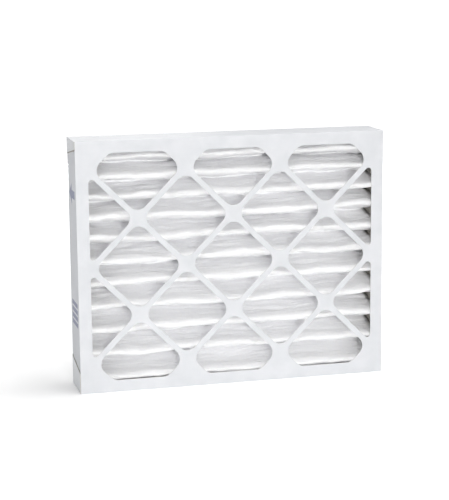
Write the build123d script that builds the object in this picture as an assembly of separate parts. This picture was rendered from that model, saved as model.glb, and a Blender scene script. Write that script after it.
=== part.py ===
"""Pleated panel air filter: two nested die-cut board trays around a glued, wire-backed pleat pack.

Frame: X along the long edge, Y from the air-entering face (-Y) to the air-leaving face (+Y), Z up.
The origin is on the ground under the middle of the panel, which stands on a long edge.
All sizes are in millimetres.
"""
from build123d import *
from math import exp, hypot, sqrt, tan, radians
import os

# ---- driving dimensions -------------------------------------------------------------------------
panel_width = 622.3          # 24 1/2 in, along X
panel_height = 495.3         # 19 1/2 in, along Z
panel_depth = 95.25          # 3 3/4 in, along Y
board = 0.8                  # wet-strength board of both trays
glue_line = 0.1              # adhesive between two glued boards
fold_radius = 1.0            # outer radius of a folded board edge

side_border = 25.4           # face border left and right of the die-cut window
top_border = 23.8            # face border above and below the window
bays = 3                     # lattice squares across the window
strip_width = 11.1           # diagonal lattice strips
tip_radius = 21.0            # rounding of an opening's corners
toe_radius = 6.4             # rounding of the sharp corners beside the side borders

wall_setback = 1.5           # the outer walls end this far before the air-leaving face
inner_wall_gap = 1.0         # the inner walls end this far behind the air-entering face
tab_relief = 2.5             # notch between a corner tab and the face fold
top_tab = 15.0               # upper corner tabs, measured at the air-entering edge
bottom_tab = 41.0            # lower corner tabs, measured at the air-entering edge
tab_slant = 10.0             # slope of a tab's free edge, in degrees

media = 2.4                  # lofted nonwoven medium
bend = 3.2                   # fold radius at the middle of the medium
pleat_pitch = 43.0           # target distance between folds
first_fold_drop = 31.5       # from the top walls to the first fold at the air-entering face
last_fold_rise = 32.5        # from the last fold at the air-entering face to the bottom walls
bunching = 0.25              # the uppermost pleats are pushed together by this share
bunch_run = 4.5              # number of pleats over which that fades
peak_clearance = 0.3         # glue between a fold and the lattice strips

wire = 1.0                   # welded support grid
wire_pitch_across = 63.5     # between wires that follow the pleats
wire_pitch_along = 25.4      # between wires that lie along the folds
seal = 1.5                   # adhesive film that beds the pack in the frame
seal_margin = 8.0            # top and bottom films stop this far from both faces

# ---- derived places ------------------------------------------------------------------------------
layer = board + glue_line
outer_side = panel_width / 2 - layer              # outside of the outer tray's side walls
inner_side = outer_side - 2 * layer               # outside of the inner tray's side walls
cavity_side = inner_side - board                  # inside of both trays, left and right
cavity_floor = layer + board                      # inside of both trays, below
cavity_roof = panel_height - cavity_floor         # inside of both trays, above
front = -panel_depth / 2                          # air-entering face
back = panel_depth / 2                            # air-leaving face
lattice_pitch = (panel_width - 2 * side_border) / bays
pack_side = cavity_side - seal                    # the pleats end here


def rounded(points, radii):
    """Closed face through points, each corner rounded by its radius as far as its edges allow."""
    limited = []
    for k, (x, z) in enumerate(points):
        ax, az = points[k - 1]
        bx, bz = points[(k + 1) % len(points)]
        before, after = hypot(ax - x, az - z), hypot(bx - x, bz - z)
        cosine = ((ax - x) * (bx - x) + (az - z) * (bz - z)) / (before * after)
        half_angle_tan = sqrt((1 - cosine) / (1 + cosine))
        limited.append(min(radii[k], 0.49 * min(before, after) * half_angle_tan))
    return make_face(FilletPolyline(*points, radius=limited, close=True))


def opening(column, row):
    """One lattice opening: a square on its corner, clipped by the window of the face."""
    half = lattice_pitch / 2
    reach = half - strip_width / sqrt(2)
    x, z = column * half, row * half
    side, top = bays * half, panel_height / 2 - top_border
    if abs(column) == bays:
        inward = -1 if column > 0 else 1
        points = [(x, z + reach), (x, z - reach), (x + inward * reach, z)]
        radii = [toe_radius, toe_radius, tip_radius]
    elif abs(z) + reach > top:
        outward = 1 if z > 0 else -1
        rise = top - abs(z)
        points = [(x - reach + rise, outward * top), (x + reach - rise, outward * top),
                  (x + reach, z), (x, z - outward * reach), (x - reach, z)]
        radii = [tip_radius] * 5
    else:
        points = [(x - reach, z), (x, z + reach), (x + reach, z), (x, z - reach)]
        radii = [tip_radius] * 4
    return rounded(points, radii)


def lattice_openings():
    """All openings of one face, drawn about the panel's centre in X and Z."""
    rows = int((panel_height / 2 - top_border) / (lattice_pitch / 2))
    places = [(column, row) for row in range(-rows, rows + 1) for column in range(-bays, bays + 1)
              if (column + row + bays) % 2 == 1]
    return [opening(column, row) for column, row in places]


def corner_tab(hand, level, upward, length, side, face, edge):
    """Flap that carries a top or bottom wall round the corner and down the side wall.

    hand is -1 or 1 for the left or right side. level is the outside of the wall that it belongs to,
    upward is 1 where the flap climbs from it. The flap lies outside the side wall at side.
    """
    toward_face = 1 if edge > face else -1
    near = face + toward_face * tab_relief
    far_length = length + abs(edge - near) * tan(radians(tab_slant))
    outline = Polyline((near, level), (edge, level), (edge, level + upward * far_length),
                       (near, level + upward * length), close=True)
    flap = extrude(Plane.YZ.offset(hand * (side + glue_line)) * make_face(outline),
                   amount=hand * board)
    bridge = Box(layer + board, abs(edge - near), board)
    bridge = Pos(hand * (side + layer - (layer + board) / 2), (near + edge) / 2,
                 level + upward * board / 2) * bridge
    return flap + bridge


def tray(side, floor, face, edge):
    """Die-cut board folded into a tray: a lattice face, four walls and four corner tabs.

    side and floor are the outsides of its walls, face is the outside of its lattice and edge is
    where its walls end.
    """
    depth = abs(edge - face)
    height = panel_height - 2 * floor
    middle = Pos(0, (face + edge) / 2, panel_height / 2)
    block = middle * Box(2 * side, depth, height)
    face_edges = block.edges().filter_by_position(Axis.Y, face, face)
    body = fillet(face_edges, fold_radius)
    toward_edge = board if edge > face else -board
    body -= Pos(0, toward_edge, 0) * middle * Box(2 * (side - board), depth, height - 2 * board)
    plane = Plane((0, face, panel_height / 2), x_dir=(1, 0, 0), z_dir=(0, -1, 0))
    for hole in lattice_openings():
        body -= extrude(plane * hole, amount=2 * board, both=True)
    for hand in (-1, 1):
        body += corner_tab(hand, floor, 1, bottom_tab, side, face, edge)
        body += corner_tab(hand, panel_height - floor, -1, top_tab, side, face, edge)
    corners = [e for e in body.edges().filter_by(Axis.Y)
               if abs(abs(e.center().X) - side - layer) < glue_line / 10
               and min(abs(e.center().Z - floor), abs(panel_height - floor - e.center().Z)) < glue_line / 10]
    return fillet(corners, board * 0.9)


def fold_centres():
    """Bend centres of the pack as (y, z) pairs, from the top wall to the bottom wall.

    They alternate: a fold at the air-leaving side, then one at the air-entering side, and so on.
    """
    top = cavity_roof - seal - media / 2 - bend
    bottom = cavity_floor + seal + media / 2 + bend
    first, last = cavity_roof - first_fold_drop, cavity_floor + last_fold_rise
    count = max(2, round((first - last) / pleat_pitch))
    shares = [1 - bunching * exp(-k / bunch_run) for k in range(count)]
    entering = [first]
    for share in shares:
        entering.append(entering[-1] - (first - last) * share / sum(shares))
    leaving = [top] + [(a + b) / 2 for a, b in zip(entering, entering[1:])] + [bottom]
    near = front + board + peak_clearance + media / 2 + bend
    far = back - board - peak_clearance - wire - media / 2 - bend
    centres = []
    for z_leaving, z_entering in zip(leaving, entering):
        centres += [(far, z_leaving), (near, z_entering)]
    return centres + [(far, leaving[-1])]


def leg_normals(centres):
    """Unit normals of the straight legs between bends, each pointing to the air-leaving side."""
    normals = []
    for k, ((y0, z0), (y1, z1)) in enumerate(zip(centres, centres[1:])):
        toward_back = -1 if k % 2 == 0 else 1
        uy, uz = toward_back * (y1 - y0), toward_back * (z1 - z0)
        length = hypot(uy, uz)
        uy, uz = uy / length, uz / length
        lean = 2 * bend / length
        across = sqrt(1 - lean * lean)
        sign = toward_back
        normals.append((-lean * uy - sign * across * uz, -lean * uz + sign * across * uy))
    return normals


centres = fold_centres()
normals = leg_normals(centres)


def on_bend(index, normal, shift):
    """Point of the sheet at one bend, shifted toward the air-leaving side."""
    y, z = centres[index]
    reach = bend + shift if index % 2 == 0 else shift - bend
    return (y + reach * normal[0], z + reach * normal[1])


def sheet_line(shift):
    """Edges of the folded sheet's middle line, shifted toward the air-leaving side."""
    tip = (1, 0)
    wall_side = [(0, 1)] + normals + [(0, -1)]
    start = (front + board + peak_clearance, on_bend(0, (0, 1), shift)[1])
    finish = (start[0], on_bend(len(centres) - 1, (0, -1), shift)[1])
    edges = [Line(start, on_bend(0, (0, 1), shift))]
    for k in range(len(centres)):
        entry, leave = on_bend(k, wall_side[k], shift), on_bend(k, wall_side[k + 1], shift)
        edges.append(ThreePointArc(entry, on_bend(k, tip, shift), leave))
        following = finish if k == len(centres) - 1 else on_bend(k + 1, wall_side[k + 1], shift)
        edges.append(Line(leave, following))
    return edges, start, finish


def pleated_media():
    """The medium: one sheet folded back and forth, its first and last legs along the walls."""
    upper, upper_start, upper_finish = sheet_line(-media / 2)
    lower, lower_start, lower_finish = sheet_line(media / 2)
    caps = [Line(upper_start, lower_start), Line(upper_finish, lower_finish)]
    section = make_face([*upper, *lower, *caps])
    return extrude(Plane.YZ.offset(-pack_side) * section, amount=2 * pack_side)


def leg_at(index, shift, y_plane):
    """Point where a leg's line, shifted toward the air-leaving side, crosses a plane of constant Y."""
    y, z = on_bend(index, normals[index], shift)
    ny, nz = normals[index]
    return (y_plane, z - (y_plane - y) * ny / nz)


def pleat_wire_outline(shift, near_plane, far_plane):
    """Flat-tipped zigzag along the air-leaving side of the pleats."""
    points = []
    for k in range(len(normals)):
        ends = [leg_at(k, shift, far_plane), leg_at(k, shift, near_plane)]
        points += ends if k % 2 == 0 else ends[::-1]
    return points


def support_grid():
    """Welded wires on the air-leaving side: some follow the pleats, others lie along the folds."""
    near, far = centres[1][0] - 0.08 * bend, centres[0][0] + bend + media / 2
    inner = pleat_wire_outline(media / 2, near, far)
    outer = pleat_wire_outline(media / 2 + wire, near + wire, far + wire)
    section = make_face(Polyline(*inner, *outer[::-1], close=True))
    across = int((2 * pack_side - wire_pitch_across) / wire_pitch_across)
    wires = []
    for k in range(across + 1):
        x = (k - across / 2) * wire_pitch_across - wire / 2
        wires.append(extrude(Plane.YZ.offset(x) * section, amount=wire))
    for k, (ny, nz) in enumerate(normals):
        a, b = on_bend(k, (ny, nz), media / 2 + wire), on_bend(k + 1, (ny, nz), media / 2 + wire)
        length = hypot(b[0] - a[0], b[1] - a[1])
        rows = max(1, round(length / wire_pitch_along) - 1)
        for row in range(1, rows + 1):
            share = row / (rows + 1)
            y = a[0] + share * (b[0] - a[0]) + ny * wire / 2
            z = a[1] + share * (b[1] - a[1]) + nz * wire / 2
            place = Plane((0, y, z), x_dir=(1, 0, 0), z_dir=(0, ny, nz))
            wires.append(place * Box(2 * pack_side - wire_pitch_along, wire, wire))
    return Compound(children=wires)


def side_seal(hand):
    """Adhesive film on a side wall, in which the ends of all pleats are bedded."""
    deep = panel_depth - 2 * board - 2 * peak_clearance
    film = Box(seal, deep - inner_wall_gap, cavity_roof - cavity_floor)
    return Pos(hand * (cavity_side - seal / 2), inner_wall_gap / 2, panel_height / 2) * film


def edge_seal(level):
    """Adhesive film between a top or bottom wall and the sheet's first or last leg."""
    return Pos(0, 0, level) * Box(2 * pack_side, panel_depth - 2 * seal_margin, seal)


parts = {
    "front_tray": tray(outer_side, 0, front, back - wall_setback),
    "rear_tray": tray(inner_side, layer, back, front + board + inner_wall_gap),
    "pleated_media": pleated_media(),
    "support_grid": support_grid(),
    "left_seal": side_seal(-1),
    "right_seal": side_seal(1),
    "top_seal": edge_seal(cavity_roof - seal / 2),
    "bottom_seal": edge_seal(cavity_floor + seal / 2),
}

os.makedirs("parts", exist_ok=True)
for name, shape in parts.items():
    export_step(shape, f"parts/{name}.step")
    print(name, round(shape.volume / 1000, 1), "cm3")
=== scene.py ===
# %% [markdown]
# # Dressing a pleated panel air filter
# A disposable air filter of the kind that slides into an air handler. Two shallow trays of coated
# board, one pushed into the other, hold a pack of white medium that is folded back and forth. A
# lattice of diagonal strips is die-cut into both tray faces, and a welded wire grid backs the
# medium. The CAD model gives every place and size. This script gives each piece its surface.
# Lengths are in millimetres until a mesh is made, because that is how the parts are drawn.
# x runs along the long edge, y from the air-entering face to the air-leaving one, and z up.

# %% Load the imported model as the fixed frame
import math

import bmesh
import bpy
import numpy as np
from mathutils import Matrix, Vector


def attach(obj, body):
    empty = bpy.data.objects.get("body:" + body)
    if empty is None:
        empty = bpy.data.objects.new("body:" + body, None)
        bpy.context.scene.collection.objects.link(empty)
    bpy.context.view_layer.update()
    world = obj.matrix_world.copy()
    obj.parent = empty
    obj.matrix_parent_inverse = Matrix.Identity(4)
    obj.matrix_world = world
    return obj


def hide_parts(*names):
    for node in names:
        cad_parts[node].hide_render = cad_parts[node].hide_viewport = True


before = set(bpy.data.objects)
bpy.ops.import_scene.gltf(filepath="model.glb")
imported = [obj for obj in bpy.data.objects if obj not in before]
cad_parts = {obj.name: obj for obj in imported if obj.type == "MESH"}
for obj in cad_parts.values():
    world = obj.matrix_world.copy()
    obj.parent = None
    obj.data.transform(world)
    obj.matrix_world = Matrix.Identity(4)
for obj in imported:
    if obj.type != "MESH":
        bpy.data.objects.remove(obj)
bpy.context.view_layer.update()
MM = 0.001
chance = np.random.default_rng(1907)
print("frame loaded:", sorted(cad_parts))

# %% [markdown]
# ## Tools for numpy surfaces
# A folded sheet, a wire or a film of glue is a grid of points that a formula bends. It could be
# modelled by hand or built one corner at a time, but a whole grid as one array is quick and exact,
# and the same small function then turns any grid into a closed mesh.

# %% Grids, pieces and slabs


def grid_quads(rows, columns, start=0, flip=False):
    """Corner numbers of the quads of a rows x columns grid of points, row after row."""
    first = start + (np.arange(rows - 1)[:, None] * columns + np.arange(columns - 1)).ravel()
    quads = np.stack((first, first + columns, first + columns + 1, first + 1), 1)
    return quads[:, ::-1] if flip else quads


def make_piece(name, points, faces, material, smooth=True):
    """A mesh object in the row frame from points in millimetres and corner numbers of its faces."""
    mesh = bpy.data.meshes.new(name)
    loops = faces if isinstance(faces, list) else faces.tolist()
    mesh.from_pydata((np.asarray(points) * MM).tolist(), [], loops)
    mesh.polygons.foreach_set("use_smooth", [smooth] * len(mesh.polygons))
    mesh.materials.append(material)
    mesh.update()
    piece = bpy.data.objects.new(name, mesh)
    bpy.context.scene.collection.objects.link(piece)
    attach(piece, "root")
    print(f"{name}: {len(mesh.vertices)} points, {len(mesh.polygons)} faces")
    return piece


def slab(over, under):
    """Points and quads of a closed slab between two grids of points of the same size.

    The quads of over keep their order, those of under are turned round, and a ring of quads joins
    the two rims. The cross product of a grid's first and second direction points out of over.
    """
    rows, columns, _ = over.shape
    count = rows * columns
    number = np.arange(count).reshape(rows, columns)
    rim = np.concatenate((number[0, :-1], number[:-1, -1], number[-1, :0:-1], number[:0:-1, 0]))
    ahead = np.roll(rim, -1)
    wall = np.stack((rim, ahead, ahead + count, rim + count), 1)
    lids = grid_quads(rows, columns), grid_quads(rows, columns, count, True)
    quads = np.concatenate((*lids, wall))
    return np.concatenate((over.reshape(-1, 3), under.reshape(-1, 3))), quads


print("helpers for grids, pieces and slabs are ready")

# %% Irregular waves


def waves(u, v, length_u, length_v, count=14):
    """Irregular field of about unit height: the sum of cosine waves with random directions.

    Each wave is cos(rate_u x u + rate_v x v + phase), and the sum is scaled by the root of
    2 / count. Wave lengths along u and v scatter around length_u and length_v, in millimetres.
    """
    turn = 2 * np.pi
    rate_u = turn / length_u * chance.normal(0, 0.75, count)
    rate_v = turn / length_v * chance.normal(0, 0.75, count)
    phase = chance.uniform(0, turn, count)
    angle = np.asarray(u)[..., None] * rate_u + np.asarray(v)[..., None] * rate_v + phase
    return np.cos(angle).sum(-1) * math.sqrt(2 / count)


print("waves are drawn from the seeded generator", type(chance.bit_generator).__name__)


# %% [markdown]
# ## Colours and shader nodes
# Finishes are written as sRGB hex values, as on a colour card, and a shader works in linear light,
# so one function converts them. Nodes could be placed by hand in the editor. In a script, one
# function that adds a node, sets it and links it keeps each material down to a few lines.

# %% Colour and node helpers


def linear(code):
    """Linear RGBA of an sRGB hex colour: c/12.92 when dark, else ((c + 0.055)/1.055)^2.4."""
    value = np.array([int(code[i:i + 2], 16) for i in (1, 3, 5)]) / 255
    bent = np.where(value <= 0.04045, value / 12.92, ((value + 0.055) / 1.055) ** 2.4)
    return (*bent.tolist(), 1.0)


def node(tree, kind, inputs=None, stops=(), **settings):
    """Adds one shader node with its settings and links.

    inputs gives a value or another node's output for each socket. stops gives the place and the
    hex colour of each end of a colour ramp.
    """
    made = tree.nodes.new("ShaderNode" + kind)
    for key, value in settings.items():
        setattr(made, key, value)
    for end, (position, code) in enumerate(stops):
        made.color_ramp.elements[end].position = position
        made.color_ramp.elements[end].color = linear(code)
    for key, value in (inputs or {}).items():
        if isinstance(value, bpy.types.NodeSocket):
            tree.links.new(value, made.inputs[key])
        else:
            made.inputs[key].default_value = value
    return made


def per_mm(size):
    """Noise scale for a pattern whose repeat is size millimetres, on coordinates in metres."""
    return 1 / (size * MM)


def new_material(name):
    """An empty node material with its output; returns the material, its tree and the output."""
    material = bpy.data.materials.new(name)
    material.use_nodes = True
    material.node_tree.nodes.clear()
    return material, material.node_tree, node(material.node_tree, "OutputMaterial")


print("white as a hex colour is", linear("#FFFFFF"), "in linear light")


# %% [markdown]
# ## Clay-coated board
# The trays are beverage board: long wood fibres pressed flat, with a white clay coat on the
# outside that is calendered between steel rolls. The eye sees a nearly flat white with very faint
# clouds from the fibres below, a dull sheen, and a slight tooth under raking light. A scan of such
# board would do as well, but it ends at its edges. Two noises have no edge: one as wide as the
# clouds, 38 mm, and one as fine as the tooth, 1.1 mm.

# %% Material: coated board
coated_board, tree, output = new_material("clay_coated_beverage_board")
place = node(tree, "TexCoord")
clouds = node(tree, "TexNoise", {"Vector": place.outputs["Object"], "Scale": per_mm(38),
                                 "Detail": 3.0})
tooth = node(tree, "TexNoise", {"Vector": place.outputs["Object"], "Scale": per_mm(1.1),
                                "Detail": 4.0, "Roughness": 0.65})
shade = node(tree, "ValToRGB", {"Fac": clouds.outputs["Fac"]},
             stops=((0.3, "#DCDEE1"), (0.7, "#E5E6E9")))
sheen = node(tree, "MapRange", {"Value": clouds.outputs["Fac"], "From Min": 0.3, "From Max": 0.7,
                                "To Min": 0.5, "To Max": 0.6})
relief = node(tree, "Bump", {"Height": tooth.outputs["Fac"], "Strength": 0.35,
                             "Distance": 0.08 * MM})
skin = node(tree, "BsdfPrincipled", {"Base Color": shade.outputs["Color"],
                                     "Roughness": sheen.outputs["Result"],
                                     "Normal": relief.outputs["Normal"], "IOR": 1.45,
                                     "Specular IOR Level": 0.4})
tree.links.new(skin.outputs["BSDF"], output.inputs["Surface"])
print("material:", coated_board.name)

# %% [markdown]
# ## Raw board edge
# A steel rule cuts the openings and the blank's outline, so every cut edge shows the uncoated
# middle of the board: a greyer, warmer band less than a millimetre wide, with loose fibres. The
# band could be painted into the coat's own material, but a second material on just those faces is
# simpler, and its border is exactly the edge.

# %% Material: cut board edge
cut_board, tree, output = new_material("cut_edge_of_recycled_board")
place = node(tree, "TexCoord")
fibres = node(tree, "TexNoise", {"Vector": place.outputs["Object"], "Scale": per_mm(0.9),
                                 "Detail": 5.0})
shade = node(tree, "ValToRGB", {"Fac": fibres.outputs["Fac"]},
             stops=((0.35, "#BDB6AA"), (0.65, "#D9D4CB")))
relief = node(tree, "Bump", {"Height": fibres.outputs["Fac"], "Strength": 0.6,
                             "Distance": 0.1 * MM})
skin = node(tree, "BsdfPrincipled", {"Base Color": shade.outputs["Color"], "Roughness": 0.9,
                                     "Normal": relief.outputs["Normal"]})
tree.links.new(skin.outputs["BSDF"], output.inputs["Surface"])
print("material:", cut_board.name)

# %% [markdown]
# ## Nonwoven medium
# The medium is a lofted blend of synthetic fibres, carded so that most fibres run along the web,
# then bonded. It is matt and bright white, slightly cloudy where the web is thinner, and hairy.
# Light enters the loft and comes out again a few millimetres on, which subsurface scattering does.
# Real fibres as curves would be millions of them, so bump stands for hairs and fine creases. The
# pattern follows the cut sheet through its folds, so it reads the sheet's own UV map, which is
# laid out in metres. Both ends of the sheet are painted grey: painted shade for the folds' ends
# deep behind the side borders.

# %% Material: lofted nonwoven
# The sheet ends 306 mm from its middle. From here on it is painted grey: painted shade behind the
# side borders.
SHADE_START, SHADE_RUN = 298, 12
LIGHT_SPREAD = 4.5
nonwoven, tree, output = new_material("carded_synthetic_nonwoven")
cut = node(tree, "UVMap", uv_map="flat_sheet")
drawn = node(tree, "Mapping", {"Vector": cut.outputs["UV"], "Scale": (1.0, 0.45, 1.0)})
web = node(tree, "TexNoise", {"Vector": drawn.outputs["Vector"], "Scale": per_mm(7),
                              "Detail": 4.0, "Roughness": 0.6}, noise_dimensions="2D")
# A real fibre is 0.03 mm thick, so these strands are drawn thirty times coarser, to show at all.
hairs = node(tree, "TexNoise", {"Vector": drawn.outputs["Vector"], "Scale": per_mm(0.9),
                                "Detail": 3.0, "Roughness": 0.7, "Distortion": 1.2},
             noise_dimensions="2D")
shade = node(tree, "ValToRGB", {"Fac": web.outputs["Fac"]},
             stops=((0.32, "#FCFCFE"), (0.66, "#FFFFFF")))
place = node(tree, "SeparateXYZ", {"Vector": cut.outputs["UV"]})
from_middle = node(tree, "Math", {0: place.outputs["X"]}, operation="ABSOLUTE")
uneven = node(tree, "Math", {0: web.outputs["Fac"], 1: 9 * MM, 2: from_middle.outputs["Value"]},
              operation="MULTIPLY_ADD")
# Painted shade: towards both ends the sheet's colour is mixed to grey #9A9894.
painted_end_shade = node(tree, "MapRange", {"Value": uneven.outputs["Value"], "From Min": SHADE_START * MM,
                                 "From Max": (SHADE_START + SHADE_RUN) * MM},
              interpolation_type="SMOOTHSTEP")
ends = node(tree, "Mix", {0: painted_end_shade.outputs["Result"], 6: shade.outputs["Color"],
                          7: linear("#9A9894")}, data_type="RGBA")
loft = node(tree, "Math", {0: web.outputs["Fac"], 1: 2.0, 2: hairs.outputs["Fac"]},
            operation="MULTIPLY_ADD")
creased = node(tree, "Mapping", {"Vector": cut.outputs["UV"], "Scale": (0.16, 1.0, 1.0)})
creases = node(tree, "TexNoise", {"Vector": creased.outputs["Vector"], "Scale": per_mm(8),
                                  "Detail": 2.0, "Distortion": 0.6}, noise_dimensions="2D")
streaks = node(tree, "Bump", {"Height": creases.outputs["Fac"], "Strength": 1.0,
                              "Distance": 3.2 * MM})
relief = node(tree, "Bump", {"Height": loft.outputs["Value"], "Strength": 0.7,
                             "Distance": 0.35 * MM, "Normal": streaks.outputs["Normal"]})
skin = node(tree, "BsdfPrincipled", {"Base Color": ends.outputs[2], "Roughness": 0.95,
                                     "Normal": relief.outputs["Normal"], "Sheen Weight": 0.15,
                                     "Sheen Roughness": 0.45, "Specular IOR Level": 0.2,
                                     "Subsurface Weight": 1.0, "Subsurface Radius": (1.0, 1.0, 1.0),
                                     "Subsurface Scale": LIGHT_SPREAD * MM})
tree.links.new(skin.outputs["BSDF"], output.inputs["Surface"])
print("material:", nonwoven.name)

# %% [markdown]
# ## Galvanised wire, dried adhesive and flexo ink
# Three small finishes. Zinc on drawn wire is a mid grey metal with soft patches. The pack is
# bedded in a milky adhesive that dries glossy. Marks on the side walls are flexo printing, which
# lies slightly unevenly on the coat. A flat colour would do for pieces this small, yet one noise
# each breaks the colour up, and that is what tells metal, glue and ink from plastic close by.

# %% Material: galvanised wire
zinc_wire, tree, output = new_material("galvanised_steel_wire")
place = node(tree, "TexCoord")
patches = node(tree, "TexNoise", {"Vector": place.outputs["Object"], "Scale": per_mm(6),
                                  "Detail": 3.0})
shade = node(tree, "ValToRGB", {"Fac": patches.outputs["Fac"]},
             stops=((0.35, "#9EA2A6"), (0.65, "#C4C7CA")))
dull = node(tree, "MapRange", {"Value": patches.outputs["Fac"], "To Min": 0.3, "To Max": 0.55})
skin = node(tree, "BsdfPrincipled", {"Base Color": shade.outputs["Color"], "Metallic": 1.0,
                                     "Roughness": dull.outputs["Result"]})
tree.links.new(skin.outputs["BSDF"], output.inputs["Surface"])
print("material:", zinc_wire.name)

# %% Material: dried white adhesive
adhesive, tree, output = new_material("dried_white_adhesive")
place = node(tree, "TexCoord")
flow = node(tree, "TexNoise", {"Vector": place.outputs["Object"], "Scale": per_mm(9),
                               "Detail": 2.0})
shade = node(tree, "ValToRGB", {"Fac": flow.outputs["Fac"]},
             stops=((0.3, "#A8A49C"), (0.7, "#C2BEB6")))
relief = node(tree, "Bump", {"Height": flow.outputs["Fac"], "Strength": 0.5, "Distance": 0.4 * MM})
skin = node(tree, "BsdfPrincipled", {"Base Color": shade.outputs["Color"], "Roughness": 0.35,
                                     "Normal": relief.outputs["Normal"]})
tree.links.new(skin.outputs["BSDF"], output.inputs["Surface"])
print("material:", adhesive.name)

# %% Materials: flexo ink and painted wall shade


def uneven_ink_and_shade(name, thick, thin):
    """One ink, also for the painted wall shade: thick where the noise is low, thin where it is
    high.
    """
    material, tree, output = new_material(name)
    place = node(tree, "TexCoord")
    lay_down = node(tree, "TexNoise", {"Vector": place.outputs["Object"], "Scale": per_mm(1.6),
                                       "Detail": 4.0})
    shade = node(tree, "ValToRGB", {"Fac": lay_down.outputs["Fac"]},
                 stops=((0.3, thick), (0.75, thin)))
    skin = node(tree, "BsdfPrincipled", {"Base Color": shade.outputs["Color"], "Roughness": 0.55})
    tree.links.new(skin.outputs["BSDF"], output.inputs["Surface"])
    print("material:", name)
    return material


mark_ink = uneven_ink_and_shade("blue_grey_flexo_ink", "#70758F", "#979CB3")
# Painted shade: grey #C6C8CD to #D3D5D9 darkens each side wall between its corner tabs.
wall_shade_paint = uneven_ink_and_shade("pale_grey_flexo_ground", "#C6C8CD", "#D3D5D9")

# %% [markdown]
# ## The board trays
# Each tray is one die-cut blank, folded and glued. It could be folded anew from a flat mesh, but
# the CAD solid already has the exact lattice, folds and corner tabs, so a merged copy of it is
# used. What the solid lacks is softness: a pressed edge is never sharp, so a narrow bevel breaks
# each edge, and the faces that a knife made get the raw edge finish.

# %% Tray sizes, repeated from the CAD source
WIDTH, HEIGHT, DEPTH = 622.3, 495.3, 95.25
BOARD, GLUE_LINE = 0.8, 0.1
SIDE_BORDER, TOP_BORDER, BAYS = 25.4, 23.8, 3
WALL_SETBACK, INNER_WALL_GAP = 1.5, 1.0
FRONT, BACK = -DEPTH / 2, DEPTH / 2
OUTER_SIDE = WIDTH / 2 - BOARD - GLUE_LINE
INNER_SIDE = OUTER_SIDE - 2 * (BOARD + GLUE_LINE)
CAVITY_SIDE = INNER_SIDE - BOARD
CAVITY_FLOOR = 2 * BOARD + GLUE_LINE
CAVITY_ROOF = HEIGHT - CAVITY_FLOOR
WINDOW_SIDE, WINDOW_TOP = WIDTH / 2 - SIDE_BORDER, HEIGHT / 2 - TOP_BORDER
LATTICE_HALF = WINDOW_SIDE / BAYS
print(f"window {2 * WINDOW_SIDE:.1f} x {2 * WINDOW_TOP:.1f} mm")
print(f"lattice pitch {2 * LATTICE_HALF:.1f} mm")

# %% Softened trays
WELD, FLAT_WITHIN = 0.002, 0.4  # corners this close are one, and faces this nearly level are one
PRESSED_EDGE, SHARP_FROM = 0.12, 50
EDGE_ON, FACE_ON = 0.3, 0.8  # a normal's share along an axis, seen edge-on and seen face-on


def board_tray(node_name, side, face, edge):
    """A softened copy of one tray. side, face and edge are where its walls, face and rim lie.

    A face of the mesh was cut by a knife if it is the wall of an opening, the rim of the walls or
    the outline of a corner tab, which its middle and its normal tell.
    """
    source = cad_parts[node_name]
    shell = bmesh.new()
    shell.from_mesh(source.data)
    bmesh.ops.remove_doubles(shell, verts=shell.verts, dist=WELD * MM)
    bmesh.ops.dissolve_limit(shell, angle_limit=math.radians(FLAT_WITHIN), verts=shell.verts,
                             edges=shell.edges)
    mesh = bpy.data.meshes.new(node_name + "_board")
    shell.to_mesh(mesh)
    shell.free()
    mesh.materials.clear()
    mesh.materials.append(coated_board)
    mesh.materials.append(cut_board)
    count = len(mesh.polygons)
    centre, normal = np.zeros(3 * count), np.zeros(3 * count)
    mesh.polygons.foreach_get("center", centre)
    mesh.polygons.foreach_get("normal", normal)
    x, y, z = centre.reshape(-1, 3).T / MM
    ny, nz = np.abs(normal.reshape(-1, 3)).T[1:]
    die_cut = ((ny < EDGE_ON) & (np.abs(y - face) < BOARD) & (np.abs(x) < WINDOW_SIDE + 1)
               & (np.abs(z - HEIGHT / 2) < WINDOW_TOP + 1))
    rim = (ny > FACE_ON) & (np.abs(y - edge) < BOARD / 4)
    outline = (ny > FACE_ON) | ((nz > FACE_ON) & (z > 10) & (z < HEIGHT - 10))
    tab = (np.abs(x) > side + GLUE_LINE / 2) & outline
    knife = die_cut | rim | tab
    mesh.polygons.foreach_set("material_index", knife.astype(np.int32))
    mesh.polygons.foreach_set("use_smooth", np.zeros(count, bool))
    tray = bpy.data.objects.new(node_name + "_board", mesh)
    bpy.context.scene.collection.objects.link(tray)
    softened = tray.modifiers.new("pressed_edges", "BEVEL")
    softened.width, softened.segments = PRESSED_EDGE * MM, 2
    softened.limit_method, softened.angle_limit = "ANGLE", math.radians(SHARP_FROM)
    softened.use_clamp_overlap = True
    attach(tray, "root")
    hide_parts(node_name)
    print(f"{tray.name}: {count} faces, {int(knife.sum())} of them cut edges")


board_tray("front_tray", OUTER_SIDE, FRONT, BACK - WALL_SETBACK)
board_tray("rear_tray", INNER_SIDE, BACK, FRONT + BOARD + INNER_WALL_GAP)

# %% [markdown]
# ## The pleat pack
# The medium is one sheet, wider than the arm can reach, scored and folded into eleven deep
# pleats. Cloth simulation would need the sheet to be pushed together like a bellows, which takes
# long and rarely lands on the glued tips. Folding is exact geometry, though: straight legs that
# touch round bends. So the profile is worked out for every column of the sheet at once, and the
# bend centres wander a little from column to column, as real folds do between their glue points.
# The lowest folds settle a few millimetres under the weight of the pack.

# %% Where the folds lie
MEDIUM, BEND, WIRE, SEAL, CLEARANCE = 2.4, 3.2, 1.0, 1.5, 0.3
PACK_SIDE = CAVITY_SIDE - SEAL
FOLD_PITCH, FIRST_DROP, LAST_RISE = 43.0, 31.5, 32.5
BUNCHING, BUNCH_RUN = 0.25, 4.5
NEAR = FRONT + BOARD + CLEARANCE + MEDIUM / 2 + BEND
FAR = BACK - BOARD - CLEARANCE - WIRE - MEDIUM / 2 - BEND

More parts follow.
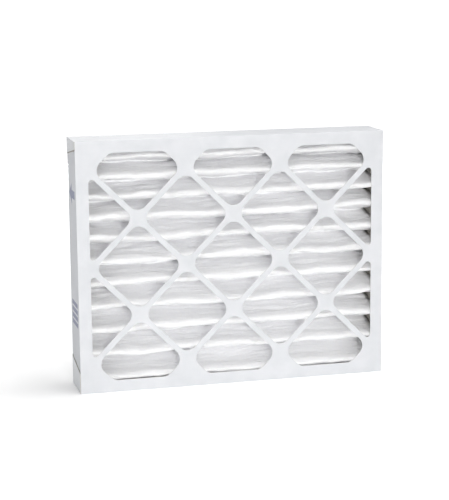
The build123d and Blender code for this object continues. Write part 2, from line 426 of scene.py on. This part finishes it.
top_bend = CAVITY_ROOF - SEAL - MEDIUM / 2 - BEND
bottom_bend = CAVITY_FLOOR + SEAL + MEDIUM / 2 + BEND
first, last = CAVITY_ROOF - FIRST_DROP, CAVITY_FLOOR + LAST_RISE
gaps = round((first - last) / FOLD_PITCH)
share = 1 - BUNCHING * np.exp(-np.arange(gaps) / BUNCH_RUN)
entering = first - (first - last) * np.concatenate(([0], np.cumsum(share / share.sum())))
leaving = np.concatenate(([top_bend], (entering[:-1] + entering[1:]) / 2, [bottom_bend]))
# The sheet starts at the top, at the back, and meets the two sides in turn.
BENDS = 2 * len(entering) + 1
centres = np.zeros((BENDS, 2))
centres[0::2] = np.stack((np.full(len(leaving), FAR), leaving), 1)
centres[1::2] = np.stack((np.full(len(entering), NEAR), entering), 1)
at_back = np.arange(BENDS) % 2 == 0
print(f"{len(entering)} folds face the air, {BENDS} bends in all")

# %% Lattice strips, which hold the folds
WIDTH_STEPS, LEG_STEPS, BEND_STEPS = 60, 24, 8
BEND_RUN = LEG_STEPS + BEND_STEPS  # samples from one bend to the next
STRIP_REACH = 13
columns = np.linspace(-PACK_SIDE, PACK_SIDE, WIDTH_STEPS + 1)


def from_strip(x, z):
    """Distance to the nearest lattice strip's middle line, all of which run at 45 degrees.

    Strips lie where x + z or x - z, taken from the panel's centre, is an odd number of half
    pitches.
    """
    def odd(t):
        return np.abs(t - 2 * np.round((t - 1) / 2) - 1)
    up = z - HEIGHT / 2
    nearest = np.minimum(odd((x + up) / LATTICE_HALF), odd((x - up) / LATTICE_HALF))
    return nearest * LATTICE_HALF / math.sqrt(2)


x_grid, z_grid = np.meshgrid(columns, centres[:, 1], indexing="ij")
held = np.exp(-((from_strip(x_grid, z_grid) / STRIP_REACH) ** 2))
print(f"{(held > 0.5).mean():.0%} of the folds' length is held by a strip")

# %% How the folds wander
LONG_SWAY, SHORT_SWAY = (1.3, 330), (1.2, 80)  # height and wave length
LEAN, MOST_LEAN = 0.9, 2.6
END_REACH = 18  # the glued ends hold the folds over this distance
SETTLING, SETTLING_RUN, BACK_SHARE = 6.5, 30, 0.3
SQUEEZED_IN, SQUEEZED_UP = 6.0, 1.0
APART = 1000.0  # distance that makes the waves of two folds or legs independent
fold_number = np.arange(BENDS) * APART
drift = (LONG_SWAY[0] * waves(x_grid, fold_number, LONG_SWAY[1], 900)
         + SHORT_SWAY[0] * waves(x_grid, fold_number, SHORT_SWAY[1], 900))
lean_in = LEAN + LEAN * waves(x_grid, fold_number, 120, 900)
lean_in = np.clip(lean_in, 0, MOST_LEAN) * (1 - held)
free = np.where((np.arange(BENDS) == 0) | (np.arange(BENDS) == BENDS - 1), 0.0, 1.0)
moved = np.repeat(centres[None], WIDTH_STEPS + 1, 0)
end_hold = 1 - np.exp(-(((PACK_SIDE - np.abs(columns)) / END_REACH) ** 2))
settle = (-SETTLING * np.exp(-(centres[:, 1] - last) / SETTLING_RUN)
          * np.where(at_back, BACK_SHARE, 1.0))
drift[:, -2] *= 0.4  # the lowest fold lies against the border and wanders less
moved[..., 1] += (drift * (0.35 + 0.65 * end_hold[:, None]) + settle) * free
moved[..., 0] += np.where(at_back, -1.0, 1.0) * lean_in * free * end_hold[:, None]
# The uppermost fold is squeezed under the border, so it stands a little higher and further in.
moved[:, 1] += (SQUEEZED_IN, SQUEEZED_UP)
print(f"folds wander {np.abs(drift).max():.1f} mm up and down, {lean_in.max():.1f} mm in")


# %% The folded middle surface


def folded(centre):
    """Points, normals, leg number and share of a leg along the profile, for each column.

    A leg is the straight line that touches two neighbouring bends, whose normal n satisfies
    n . (rear centre - front centre) = -2 x bend radius. A bend is an arc between the normals of
    the legs beside it. Every normal points to the air-leaving side.
    """
    many = len(centre)
    step = centre[:, 1:] - centre[:, :-1]
    hand = np.where(at_back[:-1], -1.0, 1.0)
    length = np.linalg.norm(step, axis=-1)
    along = hand[:, None] * step / length[..., None]
    lean = 2 * BEND / length
    quarter = np.stack((-along[..., 1], along[..., 0]), -1)
    normal = -lean[..., None] * along + (hand * np.sqrt(1 - lean ** 2))[..., None] * quarter
    up = np.broadcast_to([[[0.0, 1.0]]], (many, 1, 2))
    normal = np.concatenate((up, normal, -up), 1)
    reach = np.where(at_back, BEND, -BEND)[:, None]
    arrive, leave = centre + reach * normal[:, :-1], centre + reach * normal[:, 1:]
    mouth = np.full(many, FRONT + BOARD + CLEARANCE)
    begin = np.concatenate((np.stack((mouth, arrive[:, 0, 1]), -1)[:, None], leave), 1)
    end = np.concatenate((arrive, np.stack((mouth, leave[:, -1, 1]), -1)[:, None]), 1)
    t = np.arange(LEG_STEPS) / LEG_STEPS
    legs = begin[:, :, None] + (end - begin)[:, :, None] * t[:, None]
    leg_normals = np.broadcast_to(normal[:, :, None], legs.shape)
    angle = np.arctan2(normal[..., 1], normal[..., 0])
    swing = np.arange(BEND_STEPS) / BEND_STEPS
    angle = angle[:, :-1, None] + (angle[:, 1:, None] - angle[:, :-1, None]) * swing
    arc_normals = np.stack((np.cos(angle), np.sin(angle)), -1)
    arcs = centre[:, :, None] + reach[:, None] * arc_normals
    points = np.concatenate((legs[:, :-1], arcs), 2).reshape(many, -1, 2)
    normals = np.concatenate((leg_normals[:, :-1], arc_normals), 2).reshape(many, -1, 2)
    points = np.concatenate((points, legs[:, -1], end[:, -1:]), 1)
    normals = np.concatenate((normals, leg_normals[:, -1], normal[:, -1:]), 1)
    pattern = np.concatenate((t, np.ones(BEND_STEPS)))
    share = np.concatenate((np.tile(pattern, BENDS), t, [1.0]))
    leg = np.concatenate((np.repeat(np.arange(BENDS), BEND_RUN), np.full(LEG_STEPS + 1, BENDS)))
    return points, normals, leg, share


profile = folded(centres[None])[0][0]
run = np.concatenate(([0], np.cumsum(np.linalg.norm(np.diff(profile, axis=0), axis=1))))
points_yz, normals_yz, leg, share = folded(moved)

# %% [markdown]
# ## Loft, sag and puckers
# The fabric is soft. Between the bonded wires it puffs out, a little more on the side without
# wires. Each leg also sags or bellies by a millimetre or two, runs of shallow wrinkles follow it,
# and the score lines pucker where the fabric is squeezed round the fold, where it is also thinner.
# Sculpting could do this by hand. As sums of waves along the flat sheet, each effect has a size in
# millimetres, and all of it fades to nothing where the fabric is held.

# %% Sag, wrinkles and puckers of the sheet's middle
# For each: height, then wave length across the sheet and along its run.
SAG, LONG_WRINKLE, SHORT_WRINKLE, PUCKER = 1.7, (0.7, 110, 17), (0.6, 60, 11), (0.7, 34, 60)
RIPPLES = 26  # waves summed for the fine ones
PUCKER_REACH = 9
u, s = np.meshgrid(columns, run, indexing="ij")
inner_leg = (leg > 0) & (leg < BENDS)
soft = np.where(inner_leg, np.sin(np.pi * share), 0.0)
sag = SAG * waves(u, leg * APART, 260, 900) * soft
wrinkle = sum(height * waves(u, s, *lengths, RIPPLES)
              for height, *lengths in (LONG_WRINKLE, SHORT_WRINKLE)) * np.sqrt(np.abs(soft))
first_bend = LEG_STEPS + BEND_STEPS // 2
bend_middle = run[np.arange(BENDS) * BEND_RUN + first_bend]
to_bend = np.abs(run[:, None] - bend_middle).min(1)
pucker = (PUCKER[0] * waves(u, s, *PUCKER[1:], RIPPLES)
          * np.exp(-((to_bend / PUCKER_REACH) ** 2)))
shift = sag + wrinkle + pucker
middle = np.stack((u, points_yz[..., 0] + shift * normals_yz[..., 0],
                   points_yz[..., 1] + shift * normals_yz[..., 1]), -1)
across, down = np.gradient(middle, axis=0), np.gradient(middle, axis=1)
normal = np.cross(across, down)
normal /= np.linalg.norm(normal, axis=-1, keepdims=True)
print(f"the middle moves by {np.abs(shift).max():.1f} mm at most")

# %% The soft sheet
WIRE_ACROSS, WIRE_RUNS, WIRE_ROWS = 63.5, 9, 2
BONDED = 6  # a wire holds the loft down over this distance
CRUSHED, CRUSH_REACH = 0.45, 6
wire_places = (np.arange(WIRE_RUNS) - WIRE_RUNS // 2) * WIRE_ACROSS
off_wire = np.abs(columns[:, None] - wire_places).min(1)
bond = 1 - 0.85 * np.exp(-((off_wire / BONDED) ** 2))
quilt = np.abs(np.sin(np.pi * (WIRE_ROWS + 1) * share)) * inner_leg
puff_entering = quilt ** 0.8 * (0.95 + 0.35 * waves(u, s, 70, 40))
puff_leaving = quilt ** 0.6 * (0.8 + 0.2 * waves(u, s, 50, 40)) * bond[:, None]
crush = 1 - CRUSHED * np.exp(-((to_bend / CRUSH_REACH) ** 2))
entering_side = middle - normal * (MEDIUM / 2 * crush + puff_entering)[..., None]
leaving_side = middle + normal * (MEDIUM / 2 + puff_leaving)[..., None]
points, faces = slab(leaving_side, entering_side)
medium = make_piece("pleated_sheet", points, faces, nonwoven)
uv = np.tile(np.stack((u, s), -1).reshape(-1, 2) * MM, (2, 1))
corners = np.zeros(len(medium.data.loops), np.int32)
medium.data.loops.foreach_get("vertex_index", corners)
flat_sheet = medium.data.uv_layers.new(name="flat_sheet")
flat_sheet.data.foreach_set("uv", uv[corners].astype(np.float32).ravel())
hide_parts("pleated_media")
low, high = points.min(0), points.max(0)
print(f"y {low[1]:.2f} to {high[1]:.2f}, z {low[2]:.2f} to {high[2]:.2f}")

# %% [markdown]
# ## The welded wire grid
# Galvanised wires 1 mm thick are resistance-welded into a flat mesh, laminated to the fabric and
# folded with it. Nine wires follow the pleats, and two lie along each leg. Curve objects with a
# bevel would make round wires too, but each would need its own path. Here a tube is a circle
# carried along a path, all paths are one array, and they are the sheet's own surface raised by the
# wire's radius, so the wires take every sag with it.

# %% Tubes along many paths


def tubes(paths, outward, radius, sides=6):
    """Closed round tubes along paths, given as an array of runs x points x 3.

    A ring is path + radius x (cos a x outward + sin a x sideways), where sideways is the cross
    product of the path's direction and outward. Each end is a fan round one more point.
    """
    runs, count, _ = paths.shape
    ahead = np.gradient(paths, axis=1)
    ahead /= np.linalg.norm(ahead, axis=-1, keepdims=True)
    outward = outward - (outward * ahead).sum(-1, keepdims=True) * ahead
    outward /= np.linalg.norm(outward, axis=-1, keepdims=True)
    sideways = np.cross(ahead, outward)
    angle = 2 * np.pi * np.arange(sides) / sides
    ring = (np.cos(angle)[:, None] * outward[:, :, None]
            + np.sin(angle)[:, None] * sideways[:, :, None])
    body = (paths[:, :, None] + ring * radius).reshape(-1, 3)
    ends = paths[:, [0, -1]].reshape(-1, 3)
    base = (np.arange(runs) * count * sides)[:, None, None]
    here = base + np.arange(count - 1)[:, None] * sides + np.arange(sides)
    there = base + np.arange(count - 1)[:, None] * sides + (np.arange(sides) + 1) % sides
    quads = np.stack((here, there, there + sides, here + sides), -1).reshape(-1, 4).tolist()
    lid = len(body) + 2 * np.arange(runs)[:, None]
    low = base[:, 0] + np.arange(sides)
    low_next = base[:, 0] + (np.arange(sides) + 1) % sides
    rise = (count - 1) * sides
    fans = [np.stack(np.broadcast_arrays(*fan), -1).reshape(-1, 3)
            for fan in ((lid, low_next, low), (lid + 1, low + rise, low_next + rise))]
    return np.concatenate((body, ends)), quads + np.concatenate(fans).tolist()


def merged(parts):
    """Several (points, faces) as one."""
    points, faces, start = [], [], 0
    for some, loops in parts:
        points.append(some)
        faces += [[start + n for n in loop] for loop in loops]
        start += len(some)
    return np.concatenate(points), faces


# %% The two families of wires
WIRE_MARGIN = 12  # the wires along the legs end this far before the sheet does
raised = middle + normal * (MEDIUM / 2 + WIRE / 2)
before = np.clip(np.searchsorted(columns, wire_places) - 1, 0, WIDTH_STEPS - 1)
blend = ((wire_places - columns[before]) / (columns[1] - columns[0]))[:, None, None]
between = slice(first_bend, (BENDS - 1) * BEND_RUN + first_bend + 1)
follow = raised[before, between] * (1 - blend) + raised[before + 1, between] * blend
follow_out = normal[before, between] * (1 - blend) + normal[before + 1, between] * blend
rows = (np.arange(1, BENDS)[:, None] * BEND_RUN
        + np.arange(1, WIRE_ROWS + 1) * LEG_STEPS // (WIRE_ROWS + 1)).ravel()
kept = np.abs(columns) < PACK_SIDE - WIRE_MARGIN
lie = raised[kept][:, rows].transpose(1, 0, 2)
lie_out = normal[kept][:, rows].transpose(1, 0, 2)
wire_points, wire_faces = merged([tubes(follow, follow_out, WIRE / 2),
                                  tubes(lie, lie_out, WIRE / 2)])
support = make_piece("wire_grid", wire_points, wire_faces, zinc_wire)
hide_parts("support_grid")
print(f"wires lie from y {wire_points[:, 1].min():.2f} to {wire_points[:, 1].max():.2f}")

# %% [markdown]
# ## Adhesive films
# The ends of all pleats stand in a film of adhesive on each side wall. It creeps up the fabric
# before it sets. A fluid simulation could pour it, at a high price for a thin film in a dark
# corner. So the film is a height field: even thickness, plus a meniscus that falls off with the
# distance from the folded profile.

# %% Distance from the folded profile
FILM_ROWS, FILM_COLUMNS = 47, 247  # 2 mm apart both ways
CREEP = 1.6  # the meniscus falls to a third over this distance
film_y = np.linspace(FRONT + BOARD + CLEARANCE + 1.0, BACK - BOARD - CLEARANCE, FILM_ROWS)
film_z = np.linspace(CAVITY_FLOOR, CAVITY_ROOF, FILM_COLUMNS)
fy, fz = np.meshgrid(film_y, film_z, indexing="ij")
spots = np.stack((fy, fz), -1).reshape(-1, 1, 2)
start, step = profile[:-1], np.diff(profile, axis=0)
position = np.clip(((spots - start) * step).sum(-1) / (step ** 2).sum(-1), 0, 1)
away = np.linalg.norm(spots - start - position[..., None] * step, axis=-1).min(1)
away = away.reshape(fy.shape)
meniscus = np.exp(-np.clip(away - MEDIUM / 2, 0, None) / CREEP)
print(f"{(meniscus > 0.37).mean():.0%} of a film's area is meniscus")

# %% Side films with their menisci
RIPPLE, MENISCUS_HEIGHT, MENISCUS_SCATTER = 0.12, 1.5, 0.4


def side_film(name, hand):
    """One film: base on the wall, top at seal thickness + ripple + meniscus height."""
    ripple = RIPPLE * waves(fy, fz, 40, 40)
    climb = (MENISCUS_HEIGHT + MENISCUS_SCATTER * waves(fy, fz, 25, 25)) * meniscus
    rise = SEAL + ripple + climb
    top = np.stack((hand * (CAVITY_SIDE - rise), fy, fz), -1)
    base = np.stack((np.full(fy.shape, hand * CAVITY_SIDE), fy, fz), -1)
    points, faces = slab(base, top) if hand > 0 else slab(top, base)
    film = make_piece(name + "_film", points, faces, adhesive)
    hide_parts(name)


side_film("left_seal", -1)
side_film("right_seal", 1)
for name in ("top_seal", "bottom_seal"):
    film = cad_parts[name]
    film.data.materials.clear()
    film.data.materials.append(adhesive)
    print(name, "keeps its plain solid, hidden between the wall and the sheet")

# %% [markdown]
# ## Marks on the side walls
# A panel filter goes in one way round, so its side walls carry an arrow that points with the air,
# and a plain ruled panel for notes. Under them a grey layer fills the wall between the corner
# tabs: painted shade, which leaves the tabs lighter than the wall. An image could carry all this,
# but a few outlines stay sharp at any size. Ink has no thickness to speak of, so the shade layer
# is a plate two hundredths of a millimetre thick and the marks stand as much again above it.

# %% Painted wall shade, arrow and ruled panel
TAB_RELIEF, TAB_SLANT = 2.5, 10
TAB_FRONT, TAB_BACK = FRONT + TAB_RELIEF, BACK - WALL_SETBACK
TAB_LOW, TAB_HIGH = 41.0, HEIGHT - 15.0
TAB_RISE = (TAB_BACK - TAB_FRONT) * math.tan(math.radians(TAB_SLANT))
SHADE_INSET, SHADE_LAYER, MARK_INK = 2, 0.02, 0.04
ARROW_HEIGHT, BAR_SIDE, BAR_THICK = 389, 32, 9
shade_outline = np.array([(TAB_FRONT, TAB_LOW + SHADE_INSET),
                   (TAB_BACK, TAB_LOW + TAB_RISE + SHADE_INSET),
                   (TAB_BACK, TAB_HIGH - TAB_RISE - SHADE_INSET),
                   (TAB_FRONT, TAB_HIGH - SHADE_INSET)])
arrow = np.array([(-31, -8), (3, -8), (3, -21), (33, 0), (3, 21), (3, 8), (-31, 8)], float)
arrow += (0, ARROW_HEIGHT)
bars = [np.array([(-BAR_SIDE, z), (BAR_SIDE, z), (BAR_SIDE, z + BAR_THICK),
                  (-BAR_SIDE, z + BAR_THICK)], float) for z in (128, 141, 154, 167)]
print(f"corner tabs rise by {TAB_RISE:.1f} mm from front to back")

# %% Print and painted shade on both side walls


def wall_marks_and_shade(name, hand, shapes, thickness, material):
    """Outlines in (y, z) on a side wall as thin closed prisms, counter-clockwise from outside."""
    parts = []
    for outline in shapes:
        ring = outline if hand > 0 else outline[::-1]
        count = len(ring)
        below = np.column_stack((np.full(count, hand * OUTER_SIDE), ring))
        above = below + (hand * thickness, 0, 0)
        n = np.arange(count)
        wall = np.stack((n, (n + 1) % count, (n + 1) % count + count, n + count), 1).tolist()
        lids = [n[::-1].tolist(), (n + count).tolist()]
        parts.append((np.concatenate((below, above)), lids + wall))
    points, faces = merged(parts)
    wall_layer = make_piece(name, points, faces, material, smooth=False)


for hand, side_name in ((-1, "left"), (1, "right")):
    # The first layer is painted shade, the second is print.
    wall_marks_and_shade(side_name + "_ground", hand, [shade_outline], SHADE_LAYER, wall_shade_paint)
    wall_marks_and_shade(side_name + "_marks", hand, [arrow, *bars], MARK_INK, mark_ink)

# %% [markdown]
# ## Painted shadow along the corner tabs
# Each corner tab is glued down on the side wall, and its free edge throws a thin shadow on the
# wall. That shadow is painted: a dark grey fillet along the edge. A bevelled curve would give it
# one width all along, and the line wavers, so it is a triangle carried along the edge: high against
# the tab's cut edge and thin at its foot, with a width and a height that are waves of the distance.

# %% Material: painted shadow under the tab edges
# Painted shadow: dark grey #6F6B65 to #928D85 stands for the shade under each tab's lifted free
# edge.
tab_edge_shadow, tree, output = new_material("painted_tab_edge_shadow")
place = node(tree, "TexCoord")
flow = node(tree, "TexNoise", {"Vector": place.outputs["Object"], "Scale": per_mm(5),
                               "Detail": 2.0})
shade = node(tree, "ValToRGB", {"Fac": flow.outputs["Fac"]},
             stops=((0.3, "#6F6B65"), (0.7, "#928D85")))
skin = node(tree, "BsdfPrincipled", {"Base Color": shade.outputs["Color"], "Roughness": 0.4})
tree.links.new(skin.outputs["BSDF"], output.inputs["Surface"])
print("material:", tab_edge_shadow.name)

# %% Painted shadow fillets
FILLET_WIDTH, WIDTH_SCATTER = 2.8, 0.6
FILLET_HEIGHT, HEIGHT_SCATTER, LEAST_HEIGHT, MOST_HEIGHT = 0.62, 0.1, 0.3, 0.78
ENDLESS = 1e6  # a wave length so long that only the other direction counts


def fillet_along(hand, start, end, away, count=40):
    """A wavering triangular fillet from start to end in (y, z). away is the way from the tab.

    Its corners at each step are the line, the line raised from the wall by the height, and the
    line moved away along the wall by the width.
    """
    share = np.linspace(0, 1, count)[:, None]
    line = np.array(start) + (np.array(end) - np.array(start)) * share
    still = np.zeros(count)
    width = FILLET_WIDTH + WIDTH_SCATTER * waves(line[:, 0], still, 24, ENDLESS)
    height = FILLET_HEIGHT + HEIGHT_SCATTER * waves(line[:, 0], still, 30, ENDLESS)
    height = np.clip(height, LEAST_HEIGHT, MOST_HEIGHT)
    wall = np.full(count, hand * OUTER_SIDE)
    edge = np.column_stack((wall, line[:, 0], line[:, 1]))
    crest = np.column_stack((wall + hand * height, line[:, 0], line[:, 1]))
    foot = np.column_stack((wall, line[:, 0], line[:, 1] + away * width))
    around = (edge, crest, foot) if hand * away > 0 else (edge, foot, crest)
    points = np.stack(around, 1).reshape(-1, 3)
    n = 3 * np.arange(count - 1)
    sides = [np.stack((n + a, n + b, n + b + 3, n + a + 3), 1)
             for a, b in ((0, 1), (1, 2), (2, 0))]
    final = 3 * (count - 1)
    faces = np.concatenate(sides)[:, ::-1].tolist() + [[0, 1, 2], [final + 2, final + 1, final]]
    return points, faces


fillets = []
for hand in (-1, 1):
    for level, away in ((TAB_LOW, 1), (TAB_HIGH, -1)):
        fillets.append(fillet_along(hand, (TAB_FRONT, level),
                                    (TAB_BACK, level + away * TAB_RISE), away))
points, faces = merged(fillets)
painted_shadow_strips = make_piece("painted_tab_shadow_fillets", points, faces, tab_edge_shadow)

# %% [markdown]
# ## Floor, light and camera
# White on white lives from small shadows. One even sky would lose them, so a small lamp a little
# to the left in front, hardly higher than the filter, throws the lattice's shadow on the folds. A
# large one above brightens the top wall, and weak ones at the sides and behind keep the other
# faces readable. The floor is white paper, which sends light back up into the folds. It glows only
# where it is seen, straight or in a mirror, fully some way off and hardly near the filter, so it
# is white there and yet keeps the shadow that the filter stands in.

# %% Floor
NEAR_GLOW, FULL_GLOW = (0.4, 0.15), (2.2, 1.0)  # metres from the filter, and strength there
FLOOR_SIDE = 60  # metres each way
floor_paint, tree, output = new_material("white_floor_paper")
paper = node(tree, "BsdfDiffuse", {"Color": linear("#FFFFFF")})
path = node(tree, "LightPath")
seen = node(tree, "Math", {0: path.outputs["Is Camera Ray"], 1: path.outputs["Is Glossy Ray"]},
            operation="MAXIMUM")
seen = node(tree, "Math", {0: seen.outputs["Value"], 1: path.outputs["Is Transmission Ray"]},
            operation="MAXIMUM")
place = node(tree, "TexCoord")
from_filter = node(tree, "VectorMath", {0: place.outputs["Object"]}, operation="LENGTH")
fade = node(tree, "MapRange", {"Value": from_filter.outputs["Value"], "From Min": NEAR_GLOW[0],
                               "From Max": FULL_GLOW[0], "To Min": NEAR_GLOW[1],
                               "To Max": FULL_GLOW[1]})
lift = node(tree, "Math", {0: seen.outputs["Value"], 1: fade.outputs["Result"]},
            operation="MULTIPLY")
glow = node(tree, "Emission", {"Strength": lift.outputs["Value"]})
both = node(tree, "AddShader", {0: paper.outputs["BSDF"], 1: glow.outputs["Emission"]})
tree.links.new(both.outputs["Shader"], output.inputs["Surface"])
floor_mesh = bpy.data.meshes.new("floor")
floor_mesh.from_pydata([(x * FLOOR_SIDE, y * FLOOR_SIDE, 0)
                        for x, y in ((-1, -1), (1, -1), (1, 1), (-1, 1))], [], [(0, 1, 2, 3)])
floor_mesh.materials.append(floor_paint)
floor = bpy.data.objects.new("floor", floor_mesh)
bpy.context.scene.collection.objects.link(floor)
print("floor:", floor_paint.name)

# %% Sky
SKY_LEVEL = 0.18
world = bpy.data.worlds.new("soft_sky")
bpy.context.scene.world = world
world.use_nodes = True
tree = world.node_tree
tree.nodes.clear()
path = node(tree, "LightPath")
seen = node(tree, "Math", {0: path.outputs["Is Camera Ray"],
                           1: path.outputs["Is Transmission Ray"]}, operation="MAXIMUM")
level = node(tree, "MapRange", {"Value": seen.outputs["Value"], "To Min": SKY_LEVEL,
                                "To Max": 1.0})
sky = node(tree, "Background", {"Color": linear("#FFFFFF"), "Strength": level.outputs["Result"]})
node(tree, "OutputWorld", {"Surface": sky.outputs["Background"]})
print("sky at", SKY_LEVEL, "of white")

# %% Lamps
middle_point = Vector((0, 0, HEIGHT / 2 * MM))


def softbox(name, place, size, watts):
    """A square area lamp at place, in metres, turned to the filter's middle."""
    lamp = bpy.data.lights.new(name, "AREA")
    lamp.size, lamp.energy = size, watts
    box = bpy.data.objects.new(name, lamp)
    box.location = place
    box.rotation_euler = (middle_point - Vector(place)).to_track_quat("-Z", "Y").to_euler()
    bpy.context.scene.collection.objects.link(box)
    print(f"{name}: {watts} W from {(middle_point - box.location).length:.2f} m")


softbox("overhead", (0.4, -0.3, 2.8), 1.8, 56)
softbox("front", (-0.32, -3.6, 0.72), 0.25, 49)
softbox("left", (-2.6, -0.6, 0.45), 1.0, 15)
softbox("right", (3.0, 0.3, 0.45), 1.0, 23)
softbox("behind", (0.4, 3.4, 0.4), 0.8, 52)

# %% Camera
YAW, PITCH, ROLL = (math.radians(a) for a in (14.44, 10.62, -0.53))
STAND = (-0.765, -2.9456, 0.832)
ahead = Vector((math.sin(YAW) * math.cos(PITCH), math.cos(YAW) * math.cos(PITCH), -math.sin(PITCH)))
right = Vector((math.cos(YAW), -math.sin(YAW), 0))
upward = right.cross(ahead)
right, upward = (math.cos(ROLL) * right + math.sin(ROLL) * upward,
                 math.cos(ROLL) * upward - math.sin(ROLL) * right)
lens = bpy.data.cameras.new("camera")
lens.lens, lens.sensor_width, lens.sensor_fit = 111.5, 36.0, "AUTO"
lens.clip_end = 200
camera = bpy.data.objects.new("camera", lens)
turned = Matrix((right, upward, -ahead)).transposed().to_4x4()
camera.matrix_world = Matrix.Translation(STAND) @ turned
bpy.context.scene.collection.objects.link(camera)
bpy.context.scene.camera = camera
bpy.context.scene.view_settings.view_transform = "Standard"
# White folds pass light to and fro many times, so it may bounce more often than the usual four.
bpy.context.scene.cycles.diffuse_bounces = 12
bpy.context.scene.cycles.max_bounces = 16
print(f"camera {Vector(STAND).length:.2f} m from the origin, {lens.lens} mm lens")
